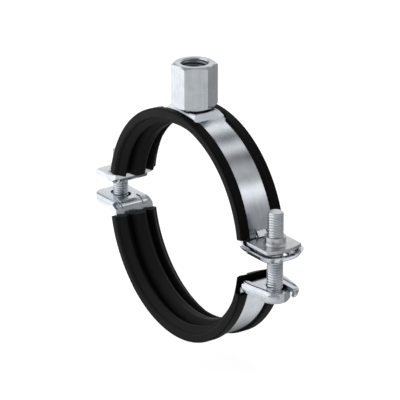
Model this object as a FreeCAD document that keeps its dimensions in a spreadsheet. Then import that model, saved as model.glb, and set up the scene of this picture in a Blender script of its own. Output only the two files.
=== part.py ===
import FreeCAD, Part
import Sketcher
import math
import os
import re

# Universal pipe clip: two steel half bands with rubber linings, closed by two screws
# X runs across the closures, Y along the pipe, Z towards the threaded rod that holds the clip

doc = FreeCAD.newDocument("pipe_clip")
sheet = doc.addObject("Spreadsheet::Sheet", "Sizes")

# Driving sizes in millimetres and degrees: name, value, meaning
SIZES = [
    ("pipe_radius", 38.05, "pipe of 76.1 mm that the linings grip"),
    ("lining_side", 1.15, "rubber beside the band's edges"),
    ("lining_wall", 3.5, "space between the pipe and the band"),
    ("lining_lip", 0.85, "rubber over the band's outer edge"),
    ("lip_reach", 4.1, "lip from the lining's side face inwards"),
    ("rib_rise", 1.25, "central rib inside the free pipe surface"),
    ("rib_crest", 2.6, "level crest of the central rib"),
    ("rib_shoulder", 1.0, "rounded shoulder on each side of the crest"),
    ("rib_shoulder_drop", 0.5, "height of those shoulders"),
    ("rib_flank", 1.5, "flank of the rib along the pipe"),
    ("lining_groove_width", 0.8, "floor of the groove beside the rib"),
    ("lining_groove_depth", 2.05, "groove below the pipe surface"),
    ("side_ridge_distance", 6.3, "ridge beside the groove from the middle"),
    ("side_ridge_drop", 0.15, "that ridge below the pipe surface"),
    ("side_ridge_width", 0.6, "crest of that ridge"),
    ("side_corner_drop", 2.25, "start of the side face's rounded corner below the pipe surface"),
    ("side_corner_width", 1.2, "that corner along the pipe"),
    ("side_corner_height", 0.9, "that corner away from the pipe"),
    ("side_corner_radius", 1.44, "its rounding"),
    ("lining_edge_radius", 0.7, "rounding of the lining's outer edges"),
    ("lip_edge_radius", 0.4, "rounding of the lip's edge"),
    ("lining_end_angle", 9.8, "end of a lining above the middle plane"),
    ("lower_lining_turn", 2.0, "lower lining turned towards the fork"),
    ("end_bevel_length", 2.4, "bevelled stretch at the fork's end of the lower lining"),
    ("end_bevel_depth", 2.95, "that bevel at the very end, below the pipe surface"),
    ("seat_gap", 0.05, "free space between the lining and the band"),
    ("band_thickness", 1.5, "sheet steel"),
    ("band_width", 17, "band along the pipe"),
    ("bend_radius", 1.3, "inside radius where a flange leaves the band"),
    ("flange_corner_radius", 2.0, "outside radius along a flange's sides"),
    ("flange_height", 3.0, "flange from its face to its rim"),
    ("flange_overhang", 8.1, "flange beyond the screw"),
    ("flange_end_radius", 5.0, "rounded corners of a flange in plan"),
    ("rim_stop", 4.6, "end of the side rims before the flange's end"),
    ("rim_slope", 2.4, "length over which a rim runs out"),
    ("web_rise", 0.9, "corner web above the rim"),
    ("web_run", 2.6, "corner web along the flange"),
    ("tray_overhang", 6.7, "face of the tray under the nut plate beyond the screw"),
    ("tray_side", 1.2, "that face inside the band's edges"),
    ("tray_end_radius", 4.6, "rounded corners of that face in plan"),
    ("tray_rim", 3.0, "tray from its face to its rim"),
    ("tray_lean", 37, "how far the tray's rim leans out"),
    ("fork_shoulder", 0.9, "fork beyond the band's edges at its root"),
    ("fork_root", 1.4, "rolled rims of the fork before the end of the bend"),
    ("fork_root_run", 3.6, "full width of the fork beyond the bend"),
    ("fork_tip_side", 0.4, "fork inside the band's edges where its tips begin"),
    ("fork_tip_radius", 5.0, "rounded tips of the fork in plan"),
    ("fork_rim", 3.3, "fork from its face to the edge of its rims"),
    ("fork_draft", 15, "how far the fork's rims lean in"),
    ("fork_roll_radius", 2.1, "outside radius of the fork's rolled rims"),
    ("fork_roll_width", 3.2, "rolled rims at the fork's root"),
    ("fork_roll_widening", 0.62, "those rims wider at the tips"),
    ("roll_rise", 0.45, "rolled rims of the fork above its face"),
    ("fork_turn_radius", 3.6, "outside radius of the fork's turned ends"),
    ("bead_rise", 0.4, "pressed beads on the left bend"),
    ("bead_width", 1.6, "those beads along the pipe"),
    ("bead_side", 2.9, "those beads from the band's edges"),
    ("bead_run", 2.4, "those beads along the flange"),
    ("screw_distance", 7.6, "screws from the band's outer face"),
    ("upper_gap", 2.0, "upper flanges above the upper half's centre"),
    ("lower_left_gap", 3.7, "lower left flange below the lower half's centre"),
    ("lower_right_gap", 7.4, "lower right flange below the lower half's centre"),
    ("opening", 1.9, "lower half away from its closed place round the pipe"),
    ("lip_relief_height", 5.0, "lining lips end this far above the fork's face"),
    ("tray_slot_radius", 4.2, "half width of the slot under the nut plate"),
    ("tray_slot_run", 2.4, "length of that slot between its round ends"),
    ("screw_play", 0.3, "screw in the plain holes, all round"),
    ("hole_run", 2.8, "length of the lower left hole between its round ends"),
    ("screw_radius", 3.0, "M6 thread, outside"),
    ("head_flats", 10, "M6 hexagon head across the flats"),
    ("head_height", 4.0, "hexagon head"),
    ("head_face_inset", 0.2, "round face of a head inside its flats"),
    ("head_gap", 0.05, "free space under each head"),
    ("tip_chamfer", 0.9, "chamfer at the screw tips"),
    ("left_screw_length", 20, "left screw under its head"),
    ("right_screw_length", 30, "right screw under its head"),
    ("thread_clearance", 0.05, "screw in its threaded collars, all round"),
    ("collar_wall", 0.85, "wall of a drawn collar at its rim"),
    ("collar_height", 3.0, "drawn collar above its sheet"),
    ("collar_foot_radius", 1.6, "curve where the left collar leaves its flange"),
    ("plate_collar_foot_radius", 0.9, "curve where the other collar leaves the nut plate"),
    ("plate_thickness", 1.3, "nut plate"),
    ("plate_width", 15.4, "nut plate along the pipe"),
    ("plate_lift", 0.7, "nut plate above the rims it will pull down on"),
    ("plate_gap", 0.8, "nut plate from the band"),
    ("plate_overhang", 7.1, "nut plate beyond the screw"),
    ("plate_bulge", 1.9, "curve of the nut plate's outer edge"),
    ("tongue_width", 4.0, "tongue of the nut plate in the band's window"),
    ("tongue_reach", 0.6, "that tongue past the band's outer face"),
    ("window_width", 4.8, "window in the band"),
    ("window_height", 4.6, "window in the band"),
    ("window_start", 2.6, "window above the upper flange's face"),
    ("nib_length", 2.4, "tab bent out above the window"),
    ("nib_angle", 36, "how far that tab leans out"),
    ("pad_length", 15.9, "level top of the raised pad across the ring"),
    ("pad_side", 3.3, "band beside the pad's level top"),
    ("pad_rise", 1.35, "raised pad above the band"),
    ("pad_slope", 35, "sides of the pad from the upright"),
    ("pad_round", 0.5, "rounding of the pad"),
    ("pad_notch_length", 20.6, "full stretch cut out of the lining's lips round the pad"),
    ("pad_notch_depth", 1.5, "how far each lip is cut back there"),
    ("pad_notch_ease", 2.0, "slant at each end of that cut"),
    ("pad_notch_past", 0.2, "that slant runs on beyond the lip's edge"),
    ("nut_flats", 15, "connection nut across the flats"),
    ("nut_height", 16.8, "hexagon of the connection nut"),
    ("nut_thread_radius", 5.0, "M10 thread, outside"),
    ("nut_mouth_radius", 5.5, "countersink of that thread"),
    ("nut_face_radius", 7.15, "round face inside the corner chamfer"),
    ("weld_neck_radius", 5.5, "weld neck under the nut"),
    ("weld_neck_height", 0.4, "nut above the pad"),
    ("corner_chamfer_angle", 30, "turned chamfer on the corners of the nut and the heads"),
]

# Sizes that follow from the ones above
DERIVED = [
    ("band_inner_radius", "pipe_radius + lining_wall + seat_gap"),
    ("band_outer_radius", "band_inner_radius + band_thickness"),
    ("screw_offset", "band_outer_radius + screw_distance"),
    ("lining_outer_radius", "band_outer_radius + seat_gap + lining_lip"),
    ("seat_inner_radius", "band_inner_radius - seat_gap"),
    ("seat_outer_radius", "band_outer_radius + seat_gap"),
    ("seat_half_width", "band_width / 2 + seat_gap"),
    ("lining_width", "2 * (seat_half_width + lining_side)"),
    ("bend_circle_radius", "band_outer_radius + bend_radius"),
    ("flange_reach", "screw_offset + flange_overhang"),
    ("flat_half_width", "band_width / 2 - flange_corner_radius"),
    ("rim_end", "flange_reach - rim_stop"),
    ("plain_hole_radius", "screw_radius + screw_play"),
    ("thread_bore_radius", "screw_radius + thread_clearance"),
    ("collar_outer_radius", "thread_bore_radius + collar_wall"),
    ("tray_reach", "screw_offset + tray_overhang"),
    ("rib_radius", "pipe_radius - rib_rise"),
    ("side_corner", "pipe_radius + side_corner_drop"),
    ("tray_half", "band_width / 2 - tray_side"),
    ("tray_wall", "band_thickness / cos(tray_lean)"),
    ("tray_spread", "band_thickness * tan(tray_lean) - tray_wall"),
    ("fork_wall", "band_thickness / cos(fork_draft)"),
    ("fork_edge_inset", "(fork_rim + roll_rise) * tan(fork_draft)"),
    ("plate_height", "upper_gap + tray_rim + plate_lift"),
    ("window_bottom", "upper_gap + window_start"),
    ("window_top", "window_bottom + window_height"),
    ("pad_top", "band_outer_radius + pad_rise"),
    ("pad_width", "band_width - 2 * pad_side"),
    ("lip_edge", "lining_width / 2 - lip_reach"),
]
for flange in ("upper", "lower_left", "lower_right"):
    DERIVED += [
        (flange + "_bend_height", flange + "_gap + band_thickness + bend_radius"),
        (flange + "_bend_reach", "sqrt(bend_circle_radius ^ 2 - {0}_bend_height ^ 2)".format(flange)),
        (flange + "_bend_angle", "asin({0}_bend_height / bend_circle_radius)".format(flange)),
        (flange + "_web_angle",
         "asin(({0}_gap + flange_height + web_rise) / band_outer_radius)".format(flange)),
    ]

ALIASES = [row[0] for row in SIZES + DERIVED]
NAME = re.compile(r"(?<![\w.])(" + "|".join(ALIASES) + r")(?!\w)")


def fill_sheet():
    for number, (alias, content, meaning) in enumerate(SIZES, 1):
        sheet.set("A%d" % number, meaning)
        sheet.set("B%d" % number, str(content))
        sheet.setAlias("B%d" % number, alias)
    for number, (alias, formula) in enumerate(DERIVED, len(SIZES) + 1):
        sheet.set("B%d" % number, "=" + formula)
        sheet.setAlias("B%d" % number, alias)
    doc.recompute()


def bound(expression):
    """An expression on sheet names, with the sheet named in front of each."""
    return NAME.sub(r"Sizes.\1", expression)


def value(expression):
    """The number that an expression gives now."""
    found = sheet.evalExpression(bound(expression))
    return float(getattr(found, "Value", found))


def negative(expression):
    return "-(" + expression + ")"


def around(radius, angle):
    """The corner at a radius and an angle above the +X axis, as two expressions."""
    return radius + " * cos(" + angle + ")", radius + " * sin(" + angle + ")"


def mirrored(corners):
    """The same outline on the other side of the vertical axis."""
    turned = []
    for corner in corners:
        arc = corner[2:]
        if arc:
            arc = (arc[0], "right" if arc[1] == "left" else "left")
        turned.append((negative(corner[0]), corner[1]) + arc)
    return turned


def new_body(label):
    body = doc.addObject("PartDesign::Body", label)
    body.Label = label
    return body


def new_sketch(body, name, plane, shift_x="0", lift="0"):
    """A sketch on one of the body's own planes, moved along it and off it."""
    sketch = body.newObject("Sketcher::SketchObject", body.Name + "_" + name)
    origin_plane = [item for item in body.Origin.OriginFeatures if item.Role == plane][0]
    sketch.AttachmentSupport = [(origin_plane, "")]
    sketch.MapMode = "FlatFace"
    sketch.setExpression("AttachmentOffset.Base.x", bound(shift_x))
    sketch.setExpression("AttachmentOffset.Base.z", bound(lift))
    return sketch


def arc_through(start, end, radius, side):
    """The short arc from start to end whose centre lies on the given side."""
    chord = end - start
    middle = (start + end) * 0.5
    normal = FreeCAD.Vector(-chord.y, chord.x, 0).normalize()
    if side == "right":
        normal = normal * -1
    centre = middle + normal * math.sqrt(max(radius ** 2 - (chord.Length / 2) ** 2, 0))
    crest = centre - normal * radius
    return Part.Arc(start, crest, end)


def set_size(sketch, kind, first, second, expression):
    """One dimension of a sketch, tied to the sheet."""
    index = sketch.addConstraint(Sketcher.Constraint(kind, *first, *second, value(expression)))
    name = "size%d" % index
    sketch.renameConstraint(index, name)
    sketch.setExpression("Constraints." + name, bound(expression))


def draw_outline(sketch, corners):
    """A closed outline. A corner is (x, y), or (x, y, radius, side) before an arc."""
    points = [FreeCAD.Vector(value(corner[0]), value(corner[1]), 0) for corner in corners]
    ends = []
    for number, corner in enumerate(corners):
        start = points[number]
        end = points[(number + 1) % len(points)]
        if len(corner) == 2:
            edge = sketch.addGeometry(Part.LineSegment(start, end))
            ends.append((edge, 1, 2))
            continue
        curve = arc_through(start, end, value(corner[2]), corner[3])
        edge = sketch.addGeometry(curve)
        forward = sketch.getPoint(edge, 1).distanceToPoint(start) < 1e-6
        ends.append((edge, 1, 2) if forward else (edge, 2, 1))
    for number, (edge, first, last) in enumerate(ends):
        following, its_first, its_last = ends[(number + 1) % len(ends)]
        sketch.addConstraint(Sketcher.Constraint("Coincident", edge, last, following, its_first))
    for (edge, first, last), corner in zip(ends, corners):
        set_size(sketch, "DistanceX", (-1, 1), (edge, first), corner[0])
        set_size(sketch, "DistanceY", (-1, 1), (edge, first), corner[1])
        if len(corner) > 2:
            set_size(sketch, "Radius", (edge,), (), corner[2])


def draw_circle(sketch, radius):
    circle = sketch.addGeometry(Part.Circle(FreeCAD.Vector(0, 0, 0), FreeCAD.Vector(0, 0, 1), value(radius)))
    sketch.addConstraint(Sketcher.Constraint("Coincident", circle, 3, -1, 1))
    set_size(sketch, "Radius", (circle,), (), radius)


def draw_slot(sketch, radius, start, end):
    """A slot along the sketch's horizontal axis, given by the centres of its round ends."""
    low = negative(radius)
    draw_outline(sketch, [
        (start, low),
        (end, low, radius, "left"),
        ("({0}) + ({1})".format(end, radius), "0", radius, "left"),
        (end, radius),
        (start, radius, radius, "left"),
        ("({0}) - ({1})".format(start, radius), "0", radius, "left"),
    ])


def draw_hexagon(sketch, flats):
    """A hexagon with two flats facing along the pipe."""
    corners = []
    for corner in range(6):
        reach = "({0}) / sqrt(3)".format(flats)
        corners.append((reach + " * cos(%d)" % (60 * corner), reach + " * sin(%d)" % (60 * corner)))
    draw_outline(sketch, corners)


def finish_feature(body, feature):
    doc.recompute()
    body.Tip = feature
    return feature


def pad(body, sketch, length, both_ways=False, backwards=False, slope=None):
    feature = body.newObject("PartDesign::Pad", sketch.Name + "_pad")
    feature.Profile = sketch
    feature.SideType = "Symmetric" if both_ways else "One side"
    feature.Reversed = backwards
    feature.setExpression("Length", bound(length))
    if slope:
        feature.setExpression("TaperAngle", bound(slope))
    return finish_feature(body, feature)


def pocket(body, sketch, length=None, both_ways=True, backwards=False, slope=None):
    """A cut, right through unless a length is given, that has to take something away."""
    before = body.Shape.Volume
    feature = body.newObject("PartDesign::Pocket", sketch.Name + "_pocket")
    feature.Profile = sketch
    feature.SideType = "Symmetric" if both_ways else "One side"
    feature.Reversed = backwards
    if length is None:
        feature.Type = "ThroughAll"
    else:
        feature.setExpression("Length", bound(length))
    if slope:
        feature.setExpression("TaperAngle", bound(slope))
    finish_feature(body, feature)
    if body.Shape.Volume >= before:
        raise RuntimeError(sketch.Name + " cut nothing")
    return feature


def revolve(body, sketch, kind="Revolution", angle="360", backwards=False):
    feature = body.newObject("PartDesign::" + kind, sketch.Name + "_turn")
    feature.Profile = sketch
    feature.ReferenceAxis = (sketch, ["V_Axis"])
    feature.Reversed = backwards
    feature.setExpression("Angle", bound(angle))
    return finish_feature(body, feature)


def both_sides(body, feature):
    """The same feature again on the other side of the plane across the pipe."""
    copy = body.newObject("PartDesign::Mirrored", feature.Name + "_other_side")
    copy.Originals = [feature]
    plane = [item for item in body.Origin.OriginFeatures if item.Role == "XZ_Plane"][0]
    copy.MirrorPlane = (plane, [""])
    return finish_feature(body, copy)


def fillet(body, name, radius, chosen):
    """Round the edges whose middle point passes a test."""
    doc.recompute()
    base = body.Tip
    edges = []
    for number, edge in enumerate(base.Shape.Edges, 1):
        middle = edge.valueAt((edge.FirstParameter + edge.LastParameter) / 2)
        if chosen(edge, middle):
            edges.append("Edge%d" % number)
    if not edges:
        raise RuntimeError(name + " finds no edge")
    feature = body.newObject("PartDesign::Fillet", body.Name + "_" + name)
    feature.Base = (base, edges)
    feature.setExpression("Radius", bound(radius))
    return finish_feature(body, feature)


def close(first, second, reach=0.01):
    return abs(first - second) < reach


# Steel half bands

def ring_sector(body, right, left):
    """The curved band between the bends of its two flanges."""
    sketch = new_sketch(body, "ring", "XZ_Plane")
    draw_outline(sketch, [
        around("band_inner_radius", right + "_bend_angle"),
        around("band_outer_radius", right + "_bend_angle") + ("band_outer_radius", "left"),
        mirrored([around("band_outer_radius", left + "_bend_angle")])[0],
        mirrored([around("band_inner_radius", left + "_bend_angle")])[0] + ("band_inner_radius", "right"),
    ])
    pad(body, sketch, "band_width", both_ways=True)


def bent_flange(body, side, flange, end="flange_reach"):
    """The bend and the flat middle of one flange."""
    reach = flange + "_bend_reach"
    gap = flange + "_gap"
    corners = [
        (end, gap),
        (reach, gap, "bend_radius + band_thickness", "right"),
        around("band_inner_radius", flange + "_bend_angle"),
        around("band_outer_radius", flange + "_bend_angle") + ("bend_radius", "left"),
        (reach, gap + " + band_thickness"),
        (end, gap + " + band_thickness"),
    ]
    if side == "left":
        corners = mirrored(corners)
    sketch = new_sketch(body, side + "_bend", "XZ_Plane")
    draw_outline(sketch, corners)
    pad(body, sketch, "2 * flat_half_width", both_ways=True)


def channel_section(gap):
    """The section of a flange with rims along both sides."""
    outer = "band_width / 2"
    inner = "band_width / 2 - band_thickness"
    top = gap + " + flange_height"
    inner_round = "flange_corner_radius - band_thickness"
    right = [
        ("flat_half_width", gap, "flange_corner_radius", "left"),
        (outer, gap + " + flange_corner_radius"),
        (outer, top),
        (inner, top),
        (inner, gap + " + flange_corner_radius", inner_round, "right"),
        ("flat_half_width", gap + " + band_thickness"),
    ]
    left = [
        ("-flat_half_width", gap + " + band_thickness", inner_round, "right"),
        (negative(inner), gap + " + flange_corner_radius"),
        (negative(inner), top),
        (negative(outer), top),
        (negative(outer), gap + " + flange_corner_radius", "flange_corner_radius", "left"),
        ("-flat_half_width", gap),
    ]
    return right + left


def rimmed_flange(body, side, flange):
    """The flange as a shallow channel, from its bend to its end."""
    start = flange + "_bend_reach"
    lift = start if side == "right" else negative(start)
    sketch = new_sketch(body, side + "_channel", "YZ_Plane", lift=lift)
    draw_outline(sketch, channel_section(flange + "_gap"))
    pad(body, sketch, "flange_reach - " + start, backwards=(side == "left"))


def tray_plan(spread="0"):
    """The tray's face seen along the screw, with rounded corners, or the same outline further out."""
    half = "(tray_half + {0})".format(spread)
    end = "(tray_reach + {0})".format(spread)
    radius = "(tray_end_radius + {0})".format(spread)
    start = "upper_bend_reach"
    return [
        (start, negative(half)),
        (end + " - " + radius, negative(half), radius, "left"),
        (end, negative(half) + " + " + radius),
        (end, half + " - " + radius, radius, "left"),
        (end + " - " + radius, half),
        (start, half),
    ]


def tray(body):
    """The tray under the nut plate: one leaning rim runs along both sides and round the end."""
    block = new_sketch(body, "tray", "XY_Plane", lift="upper_gap")
    draw_outline(block, tray_plan())
    pad(body, block, "tray_rim", slope="tray_lean")
    level = value("upper_gap")
    start = value("upper_bend_reach")
    fillet(body, "tray_foot", "flange_corner_radius",
           lambda edge, at: close(at.z, level) and not close(at.x, start))
    hollow = new_sketch(body, "tray_hollow", "XY_Plane", lift="upper_gap + band_thickness")
    draw_outline(hollow, tray_plan("tray_spread"))
    pocket(body, hollow, "tray_rim", both_ways=False, backwards=True, slope="tray_lean")


def corner_webs(body, side, flange, rim="flange_height"):
    """The pressed corners that stiffen the bend, one along each edge of the band."""
    gap = flange + "_gap"
    run = flange + "_bend_reach + web_run"
    corners = [
        around("band_inner_radius", flange + "_bend_angle"),
        around("band_outer_radius", flange + "_bend_angle"),
        around("band_outer_radius", flange + "_web_angle"),
        (run, gap + " + " + rim),
        (run, gap + " + flange_corner_radius"),
        (flange + "_bend_reach", gap + " + flange_corner_radius / 2"),
    ]
    if side == "left":
        corners = mirrored(corners)
    sketch = new_sketch(body, side + "_web", "XZ_Plane", lift="flat_half_width")
    draw_outline(sketch, corners)
    web = pad(body, sketch, "flange_corner_radius")
    both_sides(body, web)


def end_rounding(body, side):
    """The rounded corners of a flange, seen along the screw."""
    half = "band_width / 2"
    past = "flange_reach + 1"
    corner = "flange_reach - flange_end_radius"
    corners = [
        (corner, negative(half), "flange_end_radius", "left"),
        ("flange_reach", "-(band_width / 2 - flange_end_radius)"),
        ("flange_reach", "band_width / 2 - flange_end_radius", "flange_end_radius", "left"),
        (corner, half),
        (corner, half + " + 1"),
        (past, half + " + 1"),
        (past, negative(half) + " - 1"),
        (corner, negative(half) + " - 1"),
    ]
    if side == "left":
        corners = mirrored(corners)
    sketch = new_sketch(body, side + "_end", "XY_Plane")
    draw_outline(sketch, corners)
    pocket(body, sketch)


def rim_run_out(body, side, flange):
    """The rims slope down to the flat end of an open flange."""
    floor = flange + "_gap + band_thickness"
    top = flange + "_gap + flange_height"
    corners = [
        ("rim_end", top),
        ("rim_end + rim_slope", floor),
        ("flange_reach + 1", floor),
        ("flange_reach + 1", top + " + 1"),
        ("rim_end", top + " + 1"),
    ]
    if side == "left":
        corners = mirrored(corners)
    sketch = new_sketch(body, side + "_rim", "XZ_Plane")
    draw_outline(sketch, corners)
    pocket(body, sketch)


def slot(body, side, radius, start, end):
    """A slot through one flange, given from the screw outwards."""
    shift = "screw_offset" if side == "right" else "-screw_offset"
    sketch = new_sketch(body, side + "_slot", "XY_Plane", shift_x=shift)
    if side == "left":
        start, end = negative(end), negative(start)
    draw_slot(sketch, radius, start, end)
    pocket(body, sketch)


def collar(body, face, foot_radius, shift="0"):
    """A collar drawn out of the sheet and threaded, standing on the given face."""
    rim = face + " + collar_height"
    foot = "collar_outer_radius + " + foot_radius
    sketch = new_sketch(body, "collar", "XZ_Plane", shift_x=shift)
    draw_outline(sketch, [
        ("thread_bore_radius", face + " - band_thickness / 2"),
        (foot, face + " - band_thickness / 2"),
        (foot, face, foot_radius, "right"),
        ("collar_outer_radius", face + " + " + foot_radius),
        ("collar_outer_radius", rim),
        ("thread_bore_radius", rim),
    ])
    revolve(body, sketch)
    bore = new_sketch(body, "bore", "XY_Plane", shift_x=shift)
    draw_circle(bore, "thread_bore_radius")
    pocket(body, bore)


def fork_plan(start, inset="0"):
    """The fork seen along the screw, from its root to its tips, some way inside its edge."""
    broad = "(band_width / 2 + fork_shoulder - {0})".format(inset)
    narrow = "(band_width / 2 - fork_tip_side - {0})".format(inset)
    radius = "(fork_tip_radius - {0})".format(inset)
    reach = "(flange_reach - {0})".format(inset)
    side = [
        (reach, narrow + " - " + radius, radius, "left"),
        (reach + " - " + radius, narrow),
        ("lower_right_bend_reach + fork_root_run", broad),
        (start, broad),
    ]
    return mirrored(side + other_side(side))


def other_side(corners):
    """The same outline beyond the horizontal axis, walked back to the start."""
    turned = []
    for number in range(len(corners) - 1, -1, -1):
        arc = corners[number - 1][2:] if number else ()
        turned.append((corners[number][0], negative(corners[number][1])) + arc)
    return turned


def fork(body):
    """The open fork on the left: rolled rims along both sides, turned away from the gap at the tips."""
    gap = "lower_right_gap"
    crest = gap + " - roll_rise"
    start = "(lower_right_bend_reach - fork_root)"
    flat_half = "(band_width / 2 + fork_shoulder - fork_roll_width)"
    edge_level = gap + " + fork_rim"
    block = new_sketch(body, "fork", "XY_Plane", lift=edge_level)
    draw_outline(block, fork_plan(start + " + fork_edge_inset", "fork_edge_inset"))
    pad(body, block, "fork_rim + roll_rise", backwards=True, slope="fork_draft")
    level = value(crest)
    inside = value(flat_half)
    reach = value("flange_reach")
    fillet(body, "fork_roll", "fork_roll_radius",
           lambda edge, at: close(at.z, level) and (abs(at.y) > inside + 0.1 or close(abs(at.x), reach)))
    throat = new_sketch(body, "fork_throat", "XY_Plane", lift=gap)
    draw_outline(throat, mirrored([
        (start + " - 1", negative(flat_half)),
        ("lower_right_bend_reach", negative(flat_half)),
        ("lower_right_bend_reach", flat_half),
        (start + " - 1", flat_half),
    ]))
    pocket(body, throat)
    recess = new_sketch(body, "fork_face", "XY_Plane", lift=gap)
    tip_half = flat_half + " - fork_roll_widening"
    draw_outline(recess, mirrored([
        ("flange_reach + 1", negative(tip_half)),
        ("flange_reach + 1", tip_half),
        (start + " - 1", flat_half),
        (start + " - 1", negative(flat_half)),
    ]))
    pocket(body, recess, "2 * roll_rise", both_ways=False)
    hollow = new_sketch(body, "fork_hollow", "XY_Plane", lift=edge_level)
    draw_outline(hollow, fork_plan("lower_right_bend_reach", "(fork_edge_inset + fork_wall)"))
    pocket(body, hollow, "fork_rim - band_thickness", both_ways=False, slope="fork_draft")
    turned = new_sketch(body, "fork_turn", "XZ_Plane")
    draw_outline(turned, mirrored([
        ("flange_reach - fork_turn_radius", crest + " - 1"),
        ("flange_reach + 1", crest + " - 1"),
        ("flange_reach + 1", crest + " + fork_turn_radius"),
        ("flange_reach", crest + " + fork_turn_radius", "fork_turn_radius", "right"),
        ("flange_reach - fork_turn_radius", crest),
    ]))
    pocket(body, turned)


def bend_beads(body, flange):
    """Two beads pressed out of the bend to stiffen it."""
    gap = flange + "_gap"
    reach = flange + "_bend_reach"
    arc = "bend_radius + band_thickness"
    sketch = new_sketch(body, "bead", "XZ_Plane", lift="band_width / 2 - bead_side - bead_width")
    draw_outline(sketch, [
        (reach + " + bead_run", gap),
        (reach + " + bead_run - 2 * bead_rise", gap + " - bead_rise"),
        (reach, gap + " - bead_rise", arc + " + bead_rise", "right"),
        around("(band_inner_radius - bead_rise)", flange + "_bend_angle"),
        around("band_outer_radius", flange + "_bend_angle"),
        (reach + " + bead_run", gap + " + band_thickness / 2"),
    ])
    both_sides(body, pad(body, sketch, "bead_width"))


def rectangle(half_length, half_width):
    return [
        (negative(half_length), negative(half_width)),
        (half_length, negative(half_width)),
        (half_length, half_width),
        (negative(half_length), half_width),
    ]


def nut_pad(body):
    """The raised pad that gives the nut a level seat: sloping sides, hollow underneath."""
    sketch = new_sketch(body, "pad", "XY_Plane", lift="pad_top")
    draw_outline(sketch, rectangle("pad_length / 2", "pad_width / 2"))
    pad(body, sketch, "pad_rise + band_thickness", backwards=True, slope="pad_slope")
    level = value("pad_top")
    fillet(body, "pad_edges", "pad_round", lambda edge, at: close(at.z, level))
    inset = " + band_thickness * tan(pad_slope) - band_thickness / cos(pad_slope)"
    hollow = new_sketch(body, "pad_hollow", "XY_Plane", lift="pad_top - band_thickness")
    draw_outline(hollow, rectangle("(pad_length / 2" + inset + ")", "(pad_width / 2" + inset + ")"))
    pocket(body, hollow, "pad_rise + band_thickness", both_ways=False, slope="pad_slope")


def window_and_nib(body):
    """The window that takes the nut plate's tongue, and the tab bent out above it."""
    sketch = new_sketch(body, "window", "YZ_Plane")
    half = "window_width / 2"
    draw_outline(sketch, [
        (negative(half), "window_bottom"),
        (half, "window_bottom"),
        (half, "window_top"),
        (negative(half), "window_top"),
    ])
    pocket(body, sketch, both_ways=False, backwards=True)
    root_inner = "sqrt(band_inner_radius ^ 2 - window_top ^ 2)"
    root_outer = "sqrt(band_outer_radius ^ 2 - window_top ^ 2)"
    out = "nib_length * sin(nib_angle)"
    down = "nib_length * cos(nib_angle)"
    nib = new_sketch(body, "nib", "XZ_Plane")
    draw_outline(nib, [
        (root_inner + " + band_thickness / 2", "window_top + band_thickness / 2"),
        (root_inner, "window_top"),
        (root_inner + " + " + out, "window_top - " + down),
        (root_outer + " + " + out, "window_top - " + down),
        (root_outer, "window_top"),
    ])
    pad(body, nib, "tongue_width", both_ways=True)


def upper_band():
    body = new_body("upper_band")
    tray(body)
    ring_sector(body, "upper", "upper")
    bent_flange(body, "right", "upper", "tray_reach - flange_corner_radius")
    corner_webs(body, "right", "upper", "tray_rim")
    bent_flange(body, "left", "upper")
    rimmed_flange(body, "left", "upper")
    corner_webs(body, "left", "upper")
    rim_run_out(body, "left", "upper")
    end_rounding(body, "left")
    nut_pad(body)
    window_and_nib(body)
    slot(body, "right", "tray_slot_radius", "0", "tray_slot_run")
    collar(body, "upper_gap + band_thickness", "collar_foot_radius", "-screw_offset")
    return body


def lower_band():
    """Modelled like the upper half and then turned over, so its right is on the clip's left."""
    body = new_body("lower_band")
    fork(body)
    ring_sector(body, "lower_left", "lower_right")
    bent_flange(body, "left", "lower_right", "screw_offset")
    bent_flange(body, "right", "lower_left")
    rimmed_flange(body, "right", "lower_left")
    corner_webs(body, "right", "lower_left")
    rim_run_out(body, "right", "lower_left")
    end_rounding(body, "right")
    bend_beads(body, "lower_left")
    slot(body, "right", "plain_hole_radius", "-hole_run / 2", "hole_run / 2")
    slot(body, "left", "plain_hole_radius", "0", "flange_overhang + plain_hole_radius")
    turn_over(body)
    return body


def turn_over(body):
    """Half a turn about the pipe's axis, then down by the clip's opening."""
    half_turn = FreeCAD.Rotation(FreeCAD.Vector(0, 1, 0), 180)
    body.Placement = FreeCAD.Placement(FreeCAD.Vector(0, 0, 0), half_turn)
    body.setExpression("Placement.Base.z", bound("-opening"))


# Rubber linings

def lining_section():
    """Half the section of the lining: how far from the ring's centre, and along the pipe."""
    half = "lining_width / 2"
    lip = "lip_edge"
    shoulder = "rib_crest / 2 + rib_shoulder"
    groove = shoulder + " + rib_flank"
    floor = "pipe_radius + lining_groove_depth"
    ridge = "pipe_radius + side_ridge_drop"
    outer = "lining_outer_radius"
    return [
        ("rib_radius", "rib_crest / 2"),
        ("rib_radius + rib_shoulder_drop", shoulder),
        (floor, groove),
        (floor, groove + " + lining_groove_width"),
        (ridge, "side_ridge_distance - side_ridge_width / 2"),
        (ridge, "side_ridge_distance + side_ridge_width / 2"),
        ("side_corner", half + " - side_corner_width", "side_corner_radius", "right"),
        ("side_corner + side_corner_height", half),
        (outer + " - lining_edge_radius", half, "lining_edge_radius", "right"),
        (outer, half + " - lining_edge_radius"),
        (outer, lip + " + lip_edge_radius", "lip_edge_radius", "right"),
        (outer + " - lip_edge_radius", lip),
        ("seat_outer_radius", lip),
        ("seat_outer_radius", "seat_half_width"),
        ("seat_inner_radius", "seat_half_width"),
    ]


def lining(label, right_end, left_end):
    """A lining from one end angle to the other."""
    body = new_body(label)
    sketch = new_sketch(body, "section", "XY_Plane")
    sketch.AttachmentOffset = FreeCAD.Placement(
        FreeCAD.Vector(0, 0, 0), FreeCAD.Rotation(FreeCAD.Vector(0, 1, 0), -1))
    sketch.setExpression("AttachmentOffset.Rotation.Angle", bound("-(" + right_end + ")"))
    upper = lining_section()
    draw_outline(sketch, upper + other_side(upper))
    revolve(body, sketch, angle="180 - ({0}) - ({1})".format(right_end, left_end), backwards=True)
    return body


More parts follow.
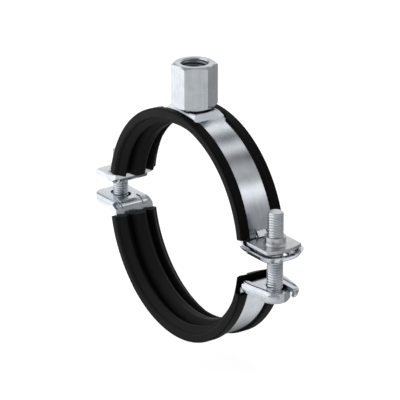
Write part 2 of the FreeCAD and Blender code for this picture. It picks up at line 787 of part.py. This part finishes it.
def notch_lips(body):
    """The lips of the upper lining are cut back round the nut's pad."""
    inner = "pad_notch_length / 2"
    outer = "(pad_notch_length / 2 + pad_notch_ease)"
    wide = "(lip_edge + pad_notch_depth)"
    narrow = "(lip_edge - pad_notch_past)"
    sketch = new_sketch(body, "notch", "XY_Plane", lift="band_inner_radius")
    draw_outline(sketch, [
        (inner, negative(wide)),
        (outer, negative(narrow)),
        (outer, narrow),
        (inner, wide),
        (negative(inner), wide),
        (negative(outer), narrow),
        (negative(outer), negative(narrow)),
        (negative(inner), negative(wide)),
    ])
    pocket(body, sketch, both_ways=False, backwards=True)


def bevel_lining(body, end):
    """The inner corner of the end by the fork is cut back at a slant."""
    along = "(({0}) + end_bevel_length / rib_radius * 180 / pi)".format(end)
    depth = "(pipe_radius + end_bevel_depth)"
    sketch = new_sketch(body, "bevel", "XZ_Plane")
    draw_outline(sketch, mirrored([
        around("rib_radius", along),
        around(depth, "(" + end + ")"),
        around(depth, "(({0}) - 3)".format(end)),
        around("(rib_radius - 2)", "(({0}) - 3)".format(end)),
        around("(rib_radius - 2)", along),
    ]))
    pocket(body, sketch)


def relieve_lips(body, angle):
    """The lips stop short of the fork, and only the inner wall runs on to the end."""
    sketch = new_sketch(body, "relief", "XZ_Plane")
    draw_outline(sketch, mirrored([
        around("seat_inner_radius", angle),
        around("seat_inner_radius", "0"),
        around("(lining_outer_radius + 2)", "0"),
        around("(lining_outer_radius + 2)", angle),
    ]))
    pocket(body, sketch)


# Fasteners

def corner_chamfer(body, name, across_flats, face_radius, level, upwards):
    """The turned chamfer that rounds the corners of a hexagon at one end."""
    corner = "(({0}) / sqrt(3) + 1)".format(across_flats)
    drop = "({0} - {1}) * tan(corner_chamfer_angle)".format(corner, face_radius)
    sign = "-" if upwards else "+"
    sketch = new_sketch(body, name, "XZ_Plane")
    corners = [
        (face_radius, level),
        (corner, level),
        (corner, "({0}) {1} {2}".format(level, sign, drop)),
    ]
    draw_outline(sketch, corners)
    revolve(body, sketch, kind="Groove")


def connection_nut():
    """The long hexagon nut welded on the pad, threaded for the rod."""
    body = new_body("connection_nut")
    neck = new_sketch(body, "neck", "XY_Plane")
    draw_circle(neck, "weld_neck_radius")
    pad(body, neck, "weld_neck_height * 2")
    hexagon = new_sketch(body, "hexagon", "XY_Plane", lift="weld_neck_height")
    draw_hexagon(hexagon, "nut_flats")
    pad(body, hexagon, "nut_height")
    top = "weld_neck_height + nut_height"
    corner_chamfer(body, "top_chamfer", "nut_flats", "nut_face_radius", top, True)
    corner_chamfer(body, "foot_chamfer", "nut_flats", "nut_face_radius", "weld_neck_height", False)
    bore = new_sketch(body, "bore", "XY_Plane")
    draw_circle(bore, "nut_thread_radius")
    pocket(body, bore)
    mouth = new_sketch(body, "mouth", "XZ_Plane")
    draw_outline(mouth, [
        ("nut_thread_radius - 1", top),
        ("nut_thread_radius - 1", top + " - (nut_mouth_radius - nut_thread_radius)"),
        ("nut_thread_radius", top + " - (nut_mouth_radius - nut_thread_radius)"),
        ("nut_mouth_radius", top),
    ])
    revolve(body, mouth, kind="Groove")
    body.setExpression("Placement.Base.z", bound("pad_top"))
    return body


def hexagon_screw(label, offset, length, face):
    """An M6 hexagon screw, head down, with its head against the lower flange."""
    body = new_body(label)
    head = new_sketch(body, "head", "XY_Plane")
    draw_hexagon(head, "head_flats")
    pad(body, head, "head_height", backwards=True)
    face_radius = "(head_flats / 2 - head_face_inset)"
    corner_chamfer(body, "head_chamfer", "head_flats", face_radius, "-head_height", False)
    shank = new_sketch(body, "shank", "XY_Plane")
    draw_circle(shank, "screw_radius")
    pad(body, shank, length)
    tip = new_sketch(body, "tip", "XZ_Plane")
    draw_outline(tip, [
        ("screw_radius - tip_chamfer", length),
        ("screw_radius + 1", length),
        ("screw_radius + 1", length + " - tip_chamfer - 1"),
        ("screw_radius", length + " - tip_chamfer"),
    ])
    revolve(body, tip, kind="Groove")
    body.setExpression("Placement.Base.x", bound(offset))
    body.setExpression("Placement.Base.z", bound("-opening - {0} - band_thickness - head_gap".format(face)))
    return body


def nut_plate():
    """The square plate with a threaded collar, hooked into the band by its tongue."""
    body = new_body("nut_plate")
    half = "plate_width / 2"
    inner = "band_outer_radius + plate_gap - screw_offset"
    tip = "sqrt(band_outer_radius ^ 2 - (plate_height + plate_thickness) ^ 2) - tongue_reach - screw_offset"
    corner = "plate_overhang - plate_bulge"
    bulge = "((plate_width / 2) ^ 2 + plate_bulge ^ 2) / (2 * plate_bulge)"
    outline = new_sketch(body, "outline", "XY_Plane")
    draw_outline(outline, [
        (inner, negative(half)),
        (corner, negative(half), bulge, "left"),
        (corner, half),
        (inner, half),
        (inner, "tongue_width / 2"),
        (tip, "tongue_width / 2"),
        (tip, "-tongue_width / 2"),
        (inner, "-tongue_width / 2"),
    ])
    pad(body, outline, "plate_thickness")
    collar(body, "plate_thickness", "plate_collar_foot_radius")
    body.setExpression("Placement.Base.x", bound("screw_offset"))
    body.setExpression("Placement.Base.z", bound("plate_height"))
    return body


def upper_lining():
    body = lining("upper_lining", "lining_end_angle", "lining_end_angle")
    notch_lips(body)
    return body


def lower_lining():
    """Modelled like the upper one and then turned over, with its fork end on the left."""
    fork_end_angle = "lining_end_angle - lower_lining_turn"
    body = lining("lower_lining", "lining_end_angle + lower_lining_turn", fork_end_angle)
    bevel_lining(body, fork_end_angle)
    relieve_lips(body, "asin((lower_right_gap + lip_relief_height) / seat_outer_radius)")
    turn_over(body)
    return body


def build():
    fill_sheet()
    parts = [
        upper_band(),
        lower_band(),
        upper_lining(),
        lower_lining(),
        connection_nut(),
        nut_plate(),
        hexagon_screw("left_screw", "-screw_offset", "left_screw_length", "lower_left_gap"),
        hexagon_screw("right_screw", "screw_offset", "right_screw_length", "lower_right_gap"),
    ]
    doc.recompute()
    return parts


def export(parts):
    for item in doc.Objects:
        if "Invalid" in item.State or "Error" in item.State:
            raise RuntimeError(item.Name + " failed: " + str(item.State))
    for part in parts:
        shape = part.Shape
        if shape.isNull() or not shape.isValid() or len(shape.Solids) != 1:
            raise RuntimeError(part.Label + " is not one sound solid")
    os.makedirs("parts", exist_ok=True)
    for part in parts:
        part.Shape.exportStep("parts/" + part.Label + ".step")
        box = part.Shape.BoundBox
        print(part.Label, round(part.Shape.Volume, 1), "mm3", box)


export(build())
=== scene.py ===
import math

import bmesh
import bpy
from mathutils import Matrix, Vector


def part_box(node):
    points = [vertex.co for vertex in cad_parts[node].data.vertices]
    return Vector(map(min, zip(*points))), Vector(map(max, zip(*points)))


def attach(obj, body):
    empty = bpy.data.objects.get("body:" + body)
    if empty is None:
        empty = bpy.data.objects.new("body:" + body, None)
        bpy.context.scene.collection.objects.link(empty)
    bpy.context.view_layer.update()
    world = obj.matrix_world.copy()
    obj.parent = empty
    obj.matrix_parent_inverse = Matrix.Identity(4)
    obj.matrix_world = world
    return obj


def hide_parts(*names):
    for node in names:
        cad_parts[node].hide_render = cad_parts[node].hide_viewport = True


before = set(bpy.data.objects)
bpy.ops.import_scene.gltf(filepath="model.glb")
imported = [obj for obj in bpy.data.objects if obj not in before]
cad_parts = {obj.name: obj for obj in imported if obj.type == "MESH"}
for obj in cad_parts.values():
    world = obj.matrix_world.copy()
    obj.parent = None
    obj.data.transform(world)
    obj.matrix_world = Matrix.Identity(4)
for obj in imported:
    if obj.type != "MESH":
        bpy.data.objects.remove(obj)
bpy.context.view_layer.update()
MM = 0.001


# Shader building

class Wire:
    """A shader socket that works in expressions like a number."""

    def __init__(self, finish, socket):
        self.finish = finish
        self.socket = socket

    def math(self, operation, *others):
        return self.finish.node("ShaderNodeMath", {"operation": operation}, self, *others)

    def __add__(self, other):
        return self.math("ADD", other)

    def __sub__(self, other):
        return self.math("SUBTRACT", other)

    def __mul__(self, other):
        return self.math("MULTIPLY", other)

    def __truediv__(self, other):
        return self.math("DIVIDE", other)

    def __rsub__(self, other):
        return self.finish.node("ShaderNodeMath", {"operation": "SUBTRACT"}, other, self)

    def __rtruediv__(self, other):
        return self.finish.node("ShaderNodeMath", {"operation": "DIVIDE"}, other, self)

    __radd__ = __add__
    __rmul__ = __mul__


class Finish:
    """A material in the making, with one method for every node."""

    def __init__(self, tree):
        self.tree = tree

    def node(self, kind, settings=None, *values, out=0, **named):
        made = self.tree.nodes.new(kind)
        for key, setting in (settings or {}).items():
            if key == "stops":
                self.set_stops(made.color_ramp, setting)
            else:
                setattr(made, key, setting)
        sockets = [*enumerate(values), *((key.replace("_", " "), each) for key, each in named.items())]
        for key, given in sockets:
            self.feed(made.inputs[key], given)
        return Wire(self, made.outputs[out])

    def feed(self, socket, given):
        if isinstance(given, Wire):
            self.tree.links.new(given.socket, socket)
        else:
            socket.default_value = given

    def set_stops(self, ramp, stops):
        ramp.interpolation = "EASE"
        while len(ramp.elements) < len(stops):
            ramp.elements.new(0.5)
        for element, (place, grey) in zip(ramp.elements, stops):
            element.position = place
            element.color = (grey, grey, grey, 1)

    def place(self, x, y, z):
        """Object coordinates, in metres, stretched by one scale for each axis."""
        spot = self.node("ShaderNodeTexCoord", out="Object")
        return self.node("ShaderNodeVectorMath", {"operation": "MULTIPLY"}, spot, (x, y, z))

    def noise(self, place, detail=3.0, roughness=0.55):
        named = {"Vector": place, "Scale": 1.0, "Detail": detail, "Roughness": roughness}
        return self.node("ShaderNodeTexNoise", None, **named)

    def smooth(self, value, start, end, low, high):
        """A soft step between two levels."""
        settings = {"interpolation_type": "SMOOTHSTEP"}
        return self.node("ShaderNodeMapRange", settings, value, start, end, low, high)

    def openness(self, distance, shut, clear):
        """0 deep in a hollow, 1 in the open; the mask for painted shade in hollows."""
        open_air = self.node("ShaderNodeAmbientOcclusion", {"samples": 6}, Distance=distance, out=1)
        return self.node("ShaderNodeMapRange", None, open_air, shut, clear, 0.0, 1.0)

    def blend(self, factor, first, second):
        """A colour between two others."""
        mix = self.tree.nodes.new("ShaderNodeMix")
        mix.data_type = "RGBA"
        self.feed(mix.inputs[0], factor)
        self.feed(mix.inputs[6], first)
        self.feed(mix.inputs[7], second)
        return Wire(self, mix.outputs[2])


def new_finish(name):
    material = bpy.data.materials.new(name)
    material.use_nodes = True
    return material, Finish(material.node_tree), material.node_tree.nodes["Principled BSDF"]


def linear(red, green, blue):
    """A colour given as it looks on screen, 0 to 255."""
    return tuple((level / 255) ** 2.2 for level in (red, green, blue)) + (1,)


STREAKS = {
    "strip": (60, 5200, 60),
    "turned": (90, 90, 4200),
    "drawn": (1500, 1500, 60),
}
# Colour of the painted shade in the hollows of zinc parts
SHADED_ZINC = linear(96, 101, 108)


def zinc_finish(name, light, dark, roughness, streaks, edge=0.16, hollow=0.9):
    """Zinc plate on steel: pale blotches, fine drawing lines, softened edges and painted shade in hollows.
    """
    material, finish, shader = new_finish(name)
    blotches = finish.noise(finish.place(170, 170, 170), detail=4)
    lines = finish.noise(finish.place(*STREAKS[streaks]), detail=2)
    grain = finish.noise(finish.place(2600, 2600, 2600), detail=2)
    tone = blotches * 0.55 + lines * 0.3 + grain * 0.15
    spread = finish.node("ShaderNodeMapRange", None, tone, 0.36, 0.64, 0.0, 1.0)
    shader.inputs["Metallic"].default_value = 1.0
    # Painted shade: the colour darkens towards SHADED_ZINC in hollows and creases
    openness = finish.openness(hollow * MM, 0.25, 0.85)
    plated = finish.blend(spread, dark, light)
    finish.feed(shader.inputs["Base Color"], finish.blend(openness, SHADED_ZINC, plated))
    finish.feed(shader.inputs["Roughness"], roughness + (lines - 0.5) * 0.12 + (blotches - 0.5) * 0.1)
    relief = lines * 0.6 + grain * 0.4
    rounded = finish.node("ShaderNodeBevel", {"samples": 6}, Radius=edge * MM)
    bump = finish.node(
        "ShaderNodeBump", None, Strength=0.12, Distance=0.02 * MM, Height=relief, Normal=rounded)
    finish.feed(shader.inputs["Normal"], bump)
    return material


BLACK_RUBBER = (0.0045, 0.0045, 0.005, 1)
DUSTY_RUBBER = (0.009, 0.009, 0.0095, 1)
# Inner faces painted paler as painted light; outer side and grooves darker as painted shade
INNER_PAINTED_LIGHT_RUBBER = (0.0115, 0.0115, 0.012, 1)
OUTER_PAINTED_SHADE_RUBBER = (0.0012, 0.0012, 0.0014, 1)
SHADED_RUBBER = (0.0008, 0.0008, 0.0009, 1)


def rubber_finish(name):
    """Extruded black rubber: satin, with faint lines along the strip.

    It is blackest on its outer side and in its grooves, as painted shade, and palest where it grips the
    pipe, as painted light.
    """
    material, finish, shader = new_finish(name)
    cloud = finish.noise(finish.place(120, 120, 120), detail=4)
    lines = finish.noise(finish.place(50, 3600, 50), detail=2)
    grain = finish.noise(finish.place(3800, 3800, 3800), detail=2)
    dust = finish.node("ShaderNodeMapRange", None, cloud * 0.6 + lines * 0.4, 0.4, 0.66, 0.0, 1.0)
    side = finish.blend(dust, BLACK_RUBBER, DUSTY_RUBBER)
    away = finish.node("ShaderNodeVectorMath", {"operation": "NORMALIZE"}, finish.place(1, 0, 1))
    facing = finish.node("ShaderNodeTexCoord", out="Normal")
    outward = finish.node("ShaderNodeVectorMath", {"operation": "DOT_PRODUCT"}, facing, away, out="Value")
    # Painted shade on faces turned outward, painted light on faces turned inward
    outer = finish.node("ShaderNodeMapRange", None, outward, 0.3, 0.75, 0.0, 1.0)
    inward_painted_light = finish.node("ShaderNodeMapRange", None, outward, -0.25, -0.8, 0.0, 1.0)
    strip = finish.blend(outer, finish.blend(inward_painted_light, side, INNER_PAINTED_LIGHT_RUBBER), OUTER_PAINTED_SHADE_RUBBER)
    # Painted shade: the colour darkens towards SHADED_RUBBER in grooves and hollows
    openness = finish.openness(4.5 * MM, 0.5, 0.92)
    finish.feed(shader.inputs["Base Color"], finish.blend(openness, SHADED_RUBBER, strip))
    finish.feed(shader.inputs["Roughness"], 0.55 + (cloud - 0.5) * 0.2 + (grain - 0.5) * 0.12)
    shader.inputs["Specular IOR Level"].default_value = 0.1
    relief = lines * 0.5 + grain * 0.5
    bump = finish.node("ShaderNodeBump", None, Strength=0.35, Distance=0.05 * MM, Height=relief)
    finish.feed(shader.inputs["Normal"], bump)
    return material


ZINC = zinc_finish(
    "zinc_plated_strip", linear(219, 224, 229), linear(192, 198, 205), 0.17, "strip", hollow=1.7)
PLATE_ZINC = zinc_finish(
    "zinc_plated_plate", linear(214, 217, 220), linear(180, 184, 188), 0.25, "strip", hollow=0.5)
NUT_ZINC = zinc_finish(
    "zinc_plated_nut", linear(212, 217, 221), linear(184, 190, 196), 0.2, "drawn", hollow=0.4)
SCREW_ZINC = zinc_finish(
    "zinc_plated_screw", linear(212, 217, 222), linear(184, 190, 198), 0.22, "turned", edge=0.06, hollow=0.3)
# Darker copy of the zinc for the nut's thread: painted shade inside the bore
SHADED_BORE_ZINC = zinc_finish(
    "zinc_plated_bore_painted_shade", linear(136, 140, 144), linear(100, 104, 109), 0.36, "turned", edge=0.05)
RUBBER = rubber_finish("black_rubber")


# Carried-over solids

def dress(node, material):
    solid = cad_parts[node]
    solid.data.materials.clear()
    solid.data.materials.append(material)


for steel_node in ("upper_band", "lower_band"):
    dress(steel_node, ZINC)
dress("nut_plate", PLATE_ZINC)
dress("connection_nut", NUT_ZINC)
for rubber_node in ("upper_lining", "lower_lining"):
    dress(rubber_node, RUBBER)


# Hexagon screws with real threads

def new_piece(name, mesh, body, material):
    piece = bpy.data.objects.new(name, mesh)
    bpy.context.scene.collection.objects.link(piece)
    piece.data.materials.append(material)
    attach(piece, body)
    return piece


def ring_surface(mesh, rings):
    """Joins rings of points, given from one end to the other, and closes both ends."""
    loops = [[mesh.verts.new(point) for point in ring] for ring in rings]
    for low, high in zip(loops, loops[1:]):
        for here in range(len(low)):
            there = (here + 1) % len(low)
            mesh.faces.new((low[here], low[there], high[there], high[here]))
    mesh.faces.new(list(reversed(loops[0])))
    mesh.faces.new(loops[-1])


def hexagon_reach(flats, angle):
    """Distance from a hexagon's centre to its side in one direction, with corners on the X axis."""
    sixth = math.pi / 3
    return flats / 2 / math.cos((angle % sixth) - sixth / 2)


HEAD_FLATS = 9.96 * MM
HEAD_HEIGHT = 4.0 * MM
HEAD_FACE_RADIUS = 4.75 * MM
HEAD_CHAMFER = math.tan(math.radians(30))
HEAD_STEPS = 96
SCREW_PITCH = 1.0 * MM
SCREW_RADIUS = 3.0 * MM
SCREW_ROOT_RADIUS = 2.76 * MM
SCREW_NECK_RADIUS = 2.9 * MM
SCREW_NECK_LENGTH = 0.8 * MM
SCREW_TIP_RADIUS = 2.5 * MM
SCREW_INTO_HEAD = 0.05 * MM
NUT_PITCH = 1.5 * MM
NUT_ROOT_RADIUS = 5.02 * MM
NUT_CREST_RADIUS = 4.55 * MM
NUT_THREAD_ABOVE_FOOT = 0.1 * MM
NUT_THREAD_BELOW_MOUTH = 0.45 * MM
NUT_RUN_OUT = 0.4
THREAD_STEPS = 64
WELD = 0.0006 * MM
SHARP = math.radians(28)


def hexagon_head(mesh, centre, top):
    """A screw head hanging below its seat, with a shallow dish and a chamfer at its bottom."""
    rings = []
    turn = [2 * math.pi * step / HEAD_STEPS for step in range(HEAD_STEPS)]

    def ring(radius_at, level_at):
        points = []
        for angle in turn:
            radius = radius_at(angle)
            points.append((centre + radius * math.cos(angle), radius * math.sin(angle), level_at(radius)))
        return points

    bottom = top - HEAD_HEIGHT
    rings.append(ring(lambda angle: HEAD_FACE_RADIUS * 0.55, lambda radius: bottom + 0.25 * MM))
    rings.append(ring(lambda angle: HEAD_FACE_RADIUS * 0.82, lambda radius: bottom + 0.12 * MM))
    rings.append(ring(lambda angle: HEAD_FACE_RADIUS * 0.9, lambda radius: bottom))
    rings.append(ring(lambda angle: HEAD_FACE_RADIUS, lambda radius: bottom))
    rings.append(ring(lambda angle: hexagon_reach(HEAD_FLATS, angle),
                      lambda radius: bottom + (radius - HEAD_FACE_RADIUS) * HEAD_CHAMFER))
    rings.append(ring(lambda angle: hexagon_reach(HEAD_FLATS, angle), lambda radius: top - 0.1 * MM))
    rings.append(ring(lambda angle: hexagon_reach(HEAD_FLATS, angle) - 0.12 * MM, lambda radius: top))
    ring_surface(mesh, rings)


def screw_profile():
    """Radius along one pitch: crest, flank, root, flank."""
    return [
        (0.0, SCREW_RADIUS), (0.15 * SCREW_PITCH, SCREW_RADIUS),
        (0.42 * SCREW_PITCH, SCREW_ROOT_RADIUS), (0.56 * SCREW_PITCH, SCREW_ROOT_RADIUS),
        (0.83 * SCREW_PITCH, SCREW_RADIUS),
    ]


def nut_profile():
    """Radius along one pitch: crest, flank, root, flank."""
    return [
        (0.0, NUT_CREST_RADIUS), (0.12 * NUT_PITCH, NUT_CREST_RADIUS),
        (0.45 * NUT_PITCH, NUT_ROOT_RADIUS), (0.6 * NUT_PITCH, NUT_ROOT_RADIUS),
        (0.93 * NUT_PITCH, NUT_CREST_RADIUS),
    ]


def helix_surface(mesh, centre, low, high, pitch, profile, limit):
    """A threaded surface whose edges follow the helix, trimmed to a radius given by height."""
    turns = int(math.ceil((high - low) / pitch)) + 1
    rows = [(turn * pitch + along, radius) for turn in range(-1, turns) for along, radius in profile]
    grid = []
    for step in range(THREAD_STEPS + 1):
        angle = 2 * math.pi * step / THREAD_STEPS
        column = []
        for along, radius in rows:
            level = min(max(low + along + pitch * step / THREAD_STEPS, low), high)
            reach = limit(radius, level)
            column.append(mesh.verts.new((
                centre + reach * math.cos(angle), reach * math.sin(angle), level)))
        grid.append(column)
    for left, right in zip(grid, grid[1:]):
        for row in range(len(rows) - 1):
            corners = (left[row], right[row], right[row + 1], left[row + 1])
            if len({tuple(round(c, 7) for c in corner.co) for corner in corners}) > 2:
                mesh.faces.new(corners)


def close_ends(mesh, levels):
    """Welds the seam and fills the flat ends."""
    bmesh.ops.remove_doubles(mesh, verts=mesh.verts, dist=WELD)
    bmesh.ops.dissolve_degenerate(mesh, edges=mesh.edges, dist=0.0005 * MM)
    for level in levels:
        rim = [edge for edge in mesh.edges if edge.is_boundary
               and all(abs(vert.co.z - level) < 0.002 * MM for vert in edge.verts)]
        bmesh.ops.holes_fill(mesh, edges=rim, sides=0)


def hexagon_screw(node, body, centre, length):
    """An M6 screw in place of its plain solid."""
    low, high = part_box(node)
    seat = high.z - length
    mesh = bmesh.new()
    hexagon_head(mesh, centre, seat)
    shank = bmesh.new()

    def limit(radius, level):
        tip = SCREW_TIP_RADIUS + (high.z - level)
        under_head = SCREW_NECK_RADIUS if level < seat + SCREW_NECK_LENGTH else radius
        return min(radius, tip, under_head)

    foot = seat - SCREW_INTO_HEAD
    helix_surface(shank, centre, foot, high.z, SCREW_PITCH, screw_profile(), limit)
    close_ends(shank, (foot, high.z))
    joined = bpy.data.meshes.new(node + "_thread")
    shank.to_mesh(joined)
    mesh.from_mesh(joined)
    bpy.data.meshes.remove(joined)
    bmesh.ops.recalc_face_normals(mesh, faces=mesh.faces)
    data = bpy.data.meshes.new(node + "_threaded")
    mesh.to_mesh(data)
    data.shade_smooth()
    data.set_sharp_from_angle(angle=SHARP)
    piece = new_piece(node + "_threaded", data, body, SCREW_ZINC)
    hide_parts(node)


def middle(node):
    low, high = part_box(node)
    return (low.x + high.x) / 2


hexagon_screw("left_screw", "left_screw", middle("left_screw"), 20 * MM)
hexagon_screw("right_screw", "right_screw", middle("right_screw"), 30 * MM)


# Thread of the connection nut

def nut_thread():
    low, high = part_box("connection_nut")
    foot = low.z + NUT_THREAD_ABOVE_FOOT
    mouth = high.z - NUT_THREAD_BELOW_MOUTH
    mesh = bmesh.new()

    def limit(radius, level):
        return min(max(radius, NUT_ROOT_RADIUS - (mouth - level) * NUT_RUN_OUT), NUT_ROOT_RADIUS)

    helix_surface(mesh, 0.0, foot, mouth, NUT_PITCH, nut_profile(), limit)
    bmesh.ops.remove_doubles(mesh, verts=mesh.verts, dist=WELD)
    bmesh.ops.recalc_face_normals(mesh, faces=mesh.faces)
    data = bpy.data.meshes.new("connection_thread")
    mesh.to_mesh(data)
    data.shade_smooth()
    data.set_sharp_from_angle(angle=SHARP)
    # The thread wears the darker zinc, painted shade inside the nut
    new_piece("connection_thread", data, "upper_half", SHADED_BORE_ZINC)


nut_thread()


# Studio

FLOOR_LEVEL = -60 * MM
WHITENING = 0.62
DIM, BRIGHT = 0.15, 0.88
FLOOR_SHINE = [
    (0.0, 0.7), (0.22, 1.4), (0.46, 0.9), (0.57, 0.76), (0.7, 0.46), (0.8, 0.26), (0.9, 0.38),
    (1.0, 0.6)]


def stage_plane(name, size, centre, material):
    mesh = bmesh.new()
    bmesh.ops.create_grid(mesh, x_segments=1, y_segments=1, size=0.5)
    data = bpy.data.meshes.new(name)
    mesh.to_mesh(data)
    plane = bpy.data.objects.new(name, data)
    plane.scale = (size, size, 1)
    plane.location = centre
    data.materials.append(material)
    bpy.context.scene.collection.objects.link(plane)


def floor_finish():
    """Pale floor that reads white to the camera and keeps the shadow.

    The metal sees it glow as a painted reflection, brightest at the left and dimmest at the right, all round
    the clip, and dimmed close to the clip as a painted shadow.
    """
    material, finish, shader = new_finish("pale_floor")
    shader.inputs["Base Color"].default_value = (0.8, 0.8, 0.8, 1)
    shader.inputs["Roughness"].default_value = 0.9
    shader.inputs["Specular IOR Level"].default_value = 0.0
    seen = finish.node("ShaderNodeLightPath", out="Is Camera Ray")
    mirrored = Wire(finish, seen.socket.node.outputs["Is Glossy Ray"])
    finish.feed(shader.inputs["Emission Color"], seen)
    shader.inputs["Emission Strength"].default_value = WHITENING
    x = finish.node("ShaderNodeSeparateXYZ", None, finish.node("ShaderNodeNewGeometry", out="Position"))
    y = Wire(finish, x.socket.node.outputs["Y"])
    angle = y.math("ARCTAN2", x) * (180 / math.pi)
    turned = (angle + 230).math("FLOORED_MODULO", 360) / 360
    reach = (x * x + y * y).math("SQRT")
    # Close to the clip the glow drops to DIM, a painted shadow seen in the metal, except to the right and in
    # front
    far = finish.smooth(reach, 70 * MM, 130 * MM, 0.0, 1.0)
    ring = finish.node("ShaderNodeValToRGB", {"stops": FLOOR_SHINE}, turned)
    right = finish.smooth(x, 0.0, 45 * MM, DIM, BRIGHT)
    front = finish.smooth(y, 0.0, -30 * MM, DIM, BRIGHT)
    level = ring * far + (1 - far) * right.math("MAXIMUM", front)
    shine = finish.node("ShaderNodeBsdfPrincipled", None, Base_Color=(0, 0, 0, 1), Specular_IOR_Level=0.0,
                        Emission_Color=level, Emission_Strength=1.0)
    total = finish.node("ShaderNodeMixShader", None, mirrored, Wire(finish, shader.outputs[0]), shine)
    finish.feed(finish.tree.nodes["Material Output"].inputs["Surface"], total)
    return material


stage_plane("floor", 14, (0, 0, FLOOR_LEVEL), floor_finish())


def soft_light(name, place, size, power):
    """A rectangle of light that faces the clip."""
    light = bpy.data.lights.new(name, "AREA")
    light.shape = "RECTANGLE"
    light.size, light.size_y = size
    light.energy = power
    lamp = bpy.data.objects.new(name, light)
    lamp.location = place
    lamp.rotation_mode = "QUATERNION"
    lamp.rotation_quaternion = Vector(place).to_track_quat("Z", "Y")
    lamp.visible_camera = False
    bpy.context.scene.collection.objects.link(lamp)


soft_light("key_softbox", (-0.55, -0.95, 0.75), (2.2, 1.6), 9)


# Strips of light and the gaps between them: degrees up from the right-hand side, and level
STRIP_LIGHTS = [
    (-20, 0.2), (20, 0.4), (39, 1.3), (52, 0.45), (62, 0.55), (75, 0.2), (87, 0.95), (101, 0.22),
    (117, 1.2), (130, 0.5), (142, 0.92), (180, 0.95)]


def studio_world():
    """Grey room, with soft strips of light beyond the clip that lie along the pipe."""
    world = bpy.data.worlds.new("studio")
    world.use_nodes = True
    finish = Finish(world.node_tree)
    background = world.node_tree.nodes["Background"]
    x = finish.node("ShaderNodeSeparateXYZ", None, finish.node("ShaderNodeTexCoord", out="Generated"))
    y = Wire(finish, x.socket.node.outputs["Y"])
    z = Wire(finish, x.socket.node.outputs["Z"])
    climb = z.math("ARCTAN2", x) * (180 / math.pi)
    low, high = STRIP_LIGHTS[0][0], STRIP_LIGHTS[-1][0]
    place = (climb - low) / (high - low)
    stops = [((angle - low) / (high - low), level) for angle, level in STRIP_LIGHTS]
    strips = finish.node("ShaderNodeValToRGB", {"stops": stops}, place)
    room = finish.smooth(x, -0.75, 0.1, 0.5, 0.38)
    beyond = finish.smooth(y, 0.15, 0.4, 0.0, 1.0)
    finish.feed(background.inputs["Color"], room * (1 - beyond) + beyond * strips)
    background.inputs["Strength"].default_value = 1.0
    bpy.context.scene.world = world


studio_world()


# Camera at the photograph's viewing angle

CAMERA_TURN = math.radians(55.097)
CAMERA_RISE = math.radians(21.2)
CAMERA_PLACE = (0.69384, -0.48162, 0.33505)
CAMERA_LENS = 217.8


def camera():
    data = bpy.data.cameras.new("camera")
    data.sensor_width = 36
    data.lens = CAMERA_LENS
    data.clip_start = 0.05
    data.clip_end = 50
    cam = bpy.data.objects.new("camera", data)
    level = math.cos(CAMERA_RISE)
    back = Vector((math.sin(CAMERA_TURN) * level, -math.cos(CAMERA_TURN) * level, math.sin(CAMERA_RISE)))
    cam.location = CAMERA_PLACE
    cam.rotation_mode = "QUATERNION"
    cam.rotation_quaternion = (-back).to_track_quat("-Z", "Y")
    bpy.context.scene.collection.objects.link(cam)
    bpy.context.scene.camera = cam


camera()
bpy.context.scene.view_settings.view_transform = "Standard"
